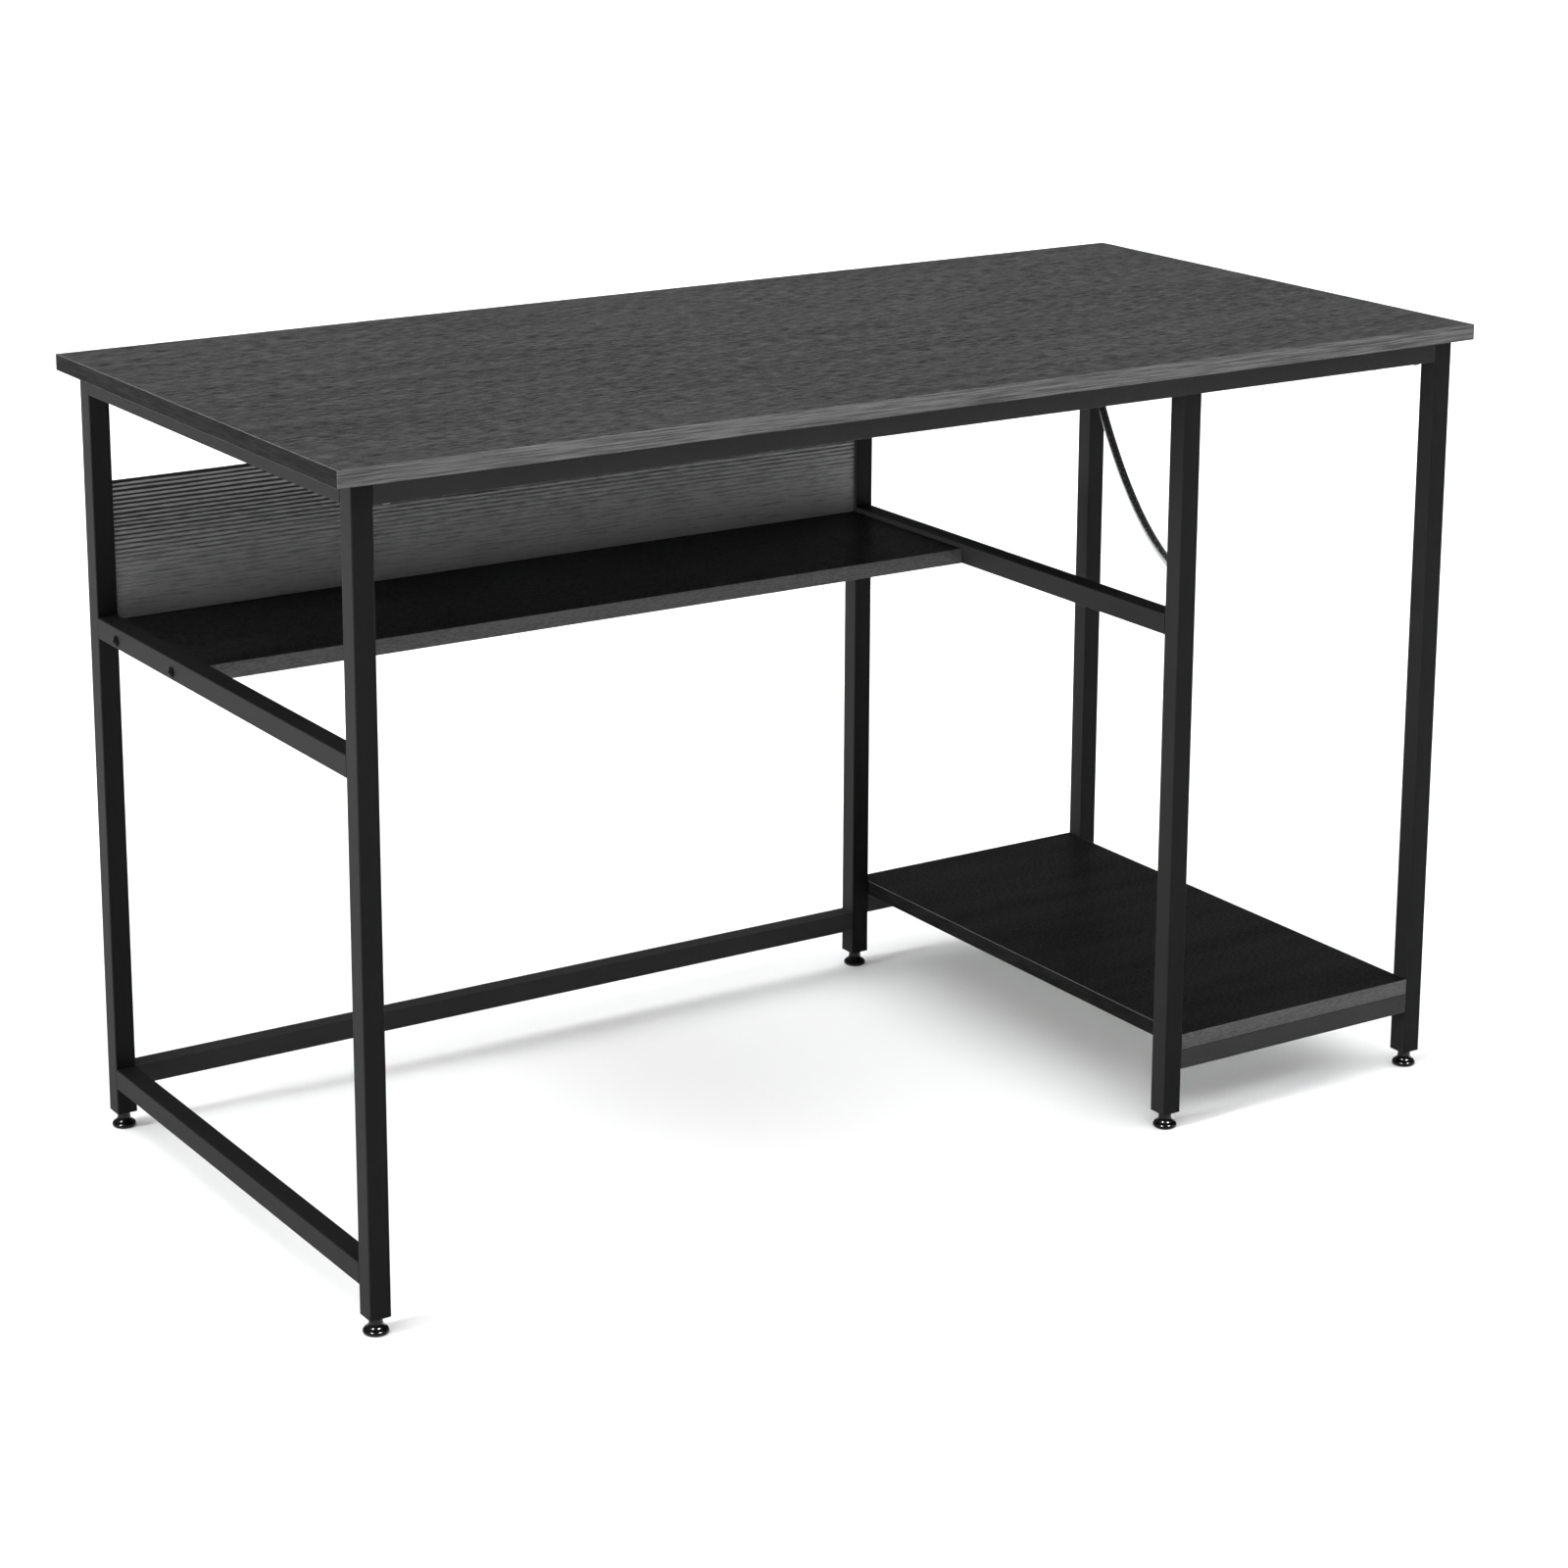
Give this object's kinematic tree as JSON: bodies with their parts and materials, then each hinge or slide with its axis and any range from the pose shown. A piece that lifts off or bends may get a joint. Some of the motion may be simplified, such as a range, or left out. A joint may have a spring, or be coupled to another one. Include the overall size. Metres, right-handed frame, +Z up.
{
  "type": "computer desk",
  "caption": "Black computer desk on a square-tube frame, with a rear storage shelf and back panel, a low tower shelf, a bowed tie rod and levelling feet.",
  "frame": {"origin": "on the floor under the middle of the desktop", "axes": "+X to the right along the desk's length, +Y to the rear, +Z up"},
  "size_m": [1.2, 0.575, 0.75],
  "materials": {
    "desktop_laminate": "satin black wood-grain laminate",
    "desktop_band": "satin black wood-grain edge band",
    "shelf_laminate": "satin black wood-grain laminate",
    "panel_laminate": "satin black wood-grain laminate",
    "shelf_band": "satin black edge band",
    "powder_coat": "fine-textured matte black powder coat",
    "gloss_enamel": "semi-gloss black enamel",
    "plug_plastic": "matte black plastic",
    "zinc_steel": "zinc-plated steel",
    "black_screw": "black-coated steel",
    "foot_plastic": "glossy black plastic"
  },
  "bodies": {
    "desk": {"desktop_board": "desktop_laminate", "desktop_edging": "desktop_band", "storage_shelf_board": "shelf_laminate", "storage_shelf_edging": "shelf_band", "back_panel": "panel_laminate", "back_panel_edging": "shelf_band", "tower_shelf_board": "shelf_laminate", "tower_shelf_edging": "shelf_band", "front_left_leg": "powder_coat", "rear_left_leg": "powder_coat", "front_middle_leg": "powder_coat", "rear_middle_leg": "powder_coat", "front_right_leg": "powder_coat", "rear_right_leg": "powder_coat", "front_top_rail": "powder_coat", "rear_top_rail": "powder_coat", "left_top_rail": "powder_coat", "middle_top_rail": "powder_coat", "right_top_rail": "powder_coat", "left_middle_rail": "powder_coat", "middle_frame_rail": "powder_coat", "left_bottom_rail": "powder_coat", "rear_stretcher": "powder_coat", "tower_front_rail": "powder_coat", "tower_rear_rail": "powder_coat", "tie_rod": "gloss_enamel", "rail_stubs": "powder_coat", "rail_screws": "zinc_steel", "middle_leg_plugs": "plug_plastic", "middle_leg_bolts": "zinc_steel", "panel_tabs": "powder_coat", "panel_screws": "zinc_steel", "storage_shelf_screws": "black_screw", "tower_shelf_screws": "zinc_steel", "desktop_screws": "zinc_steel", "leg_plugs": "plug_plastic", "leg_nuts": "zinc_steel"},
    "front_left_foot": {"front_left_foot_stud": "zinc_steel", "front_left_foot_base": "foot_plastic"},
    "rear_left_foot": {"rear_left_foot_stud": "zinc_steel", "rear_left_foot_base": "foot_plastic"},
    "front_middle_foot": {"front_middle_foot_stud": "zinc_steel", "front_middle_foot_base": "foot_plastic"},
    "rear_middle_foot": {"rear_middle_foot_stud": "zinc_steel", "rear_middle_foot_base": "foot_plastic"},
    "front_right_foot": {"front_right_foot_stud": "zinc_steel", "front_right_foot_base": "foot_plastic"},
    "rear_right_foot": {"rear_right_foot_stud": "zinc_steel", "rear_right_foot_base": "foot_plastic"}
  },
  "joints": [
    {"name": "front_left_foot_level", "type": "slide", "parent": "desk", "child": "front_left_foot", "axis": [0, 0, -1], "range_m": [0, 0.012]},
    {"name": "rear_left_foot_level", "type": "slide", "parent": "desk", "child": "rear_left_foot", "axis": [0, 0, -1], "range_m": [0, 0.012]},
    {"name": "front_middle_foot_level", "type": "slide", "parent": "desk", "child": "front_middle_foot", "axis": [0, 0, -1], "range_m": [0, 0.012]},
    {"name": "rear_middle_foot_level", "type": "slide", "parent": "desk", "child": "rear_middle_foot", "axis": [0, 0, -1], "range_m": [0, 0.012]},
    {"name": "front_right_foot_level", "type": "slide", "parent": "desk", "child": "front_right_foot", "axis": [0, 0, -1], "range_m": [0, 0.012]},
    {"name": "rear_right_foot_level", "type": "slide", "parent": "desk", "child": "rear_right_foot", "axis": [0, 0, -1], "range_m": [0, 0.012]}
  ]
}
